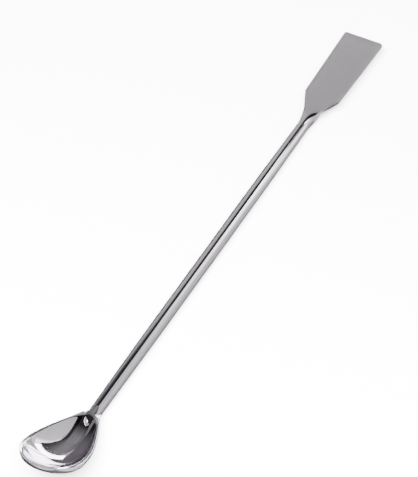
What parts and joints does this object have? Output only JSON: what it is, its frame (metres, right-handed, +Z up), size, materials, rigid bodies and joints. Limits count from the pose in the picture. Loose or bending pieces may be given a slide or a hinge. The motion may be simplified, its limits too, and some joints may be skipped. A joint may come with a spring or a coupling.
{
  "type": "lab spatula",
  "caption": "Polished steel lab spatula forged in one piece, with a round rod handle, a flat spade blade at one end and a deep dished scoop at the other.",
  "frame": {"origin": "middle of the object's box, on the bench it lies on", "axes": "+X along the handle towards the blade, +Y across the blade, +Z up out of the bowl"},
  "size_m": [0.1956, 0.019, 0.0154],
  "materials": {
    "stainless": "polished stainless steel, satin on the blade's flat face"
  },
  "bodies": {
    "root": {"spatula": "stainless"}
  },
  "joints": []
}
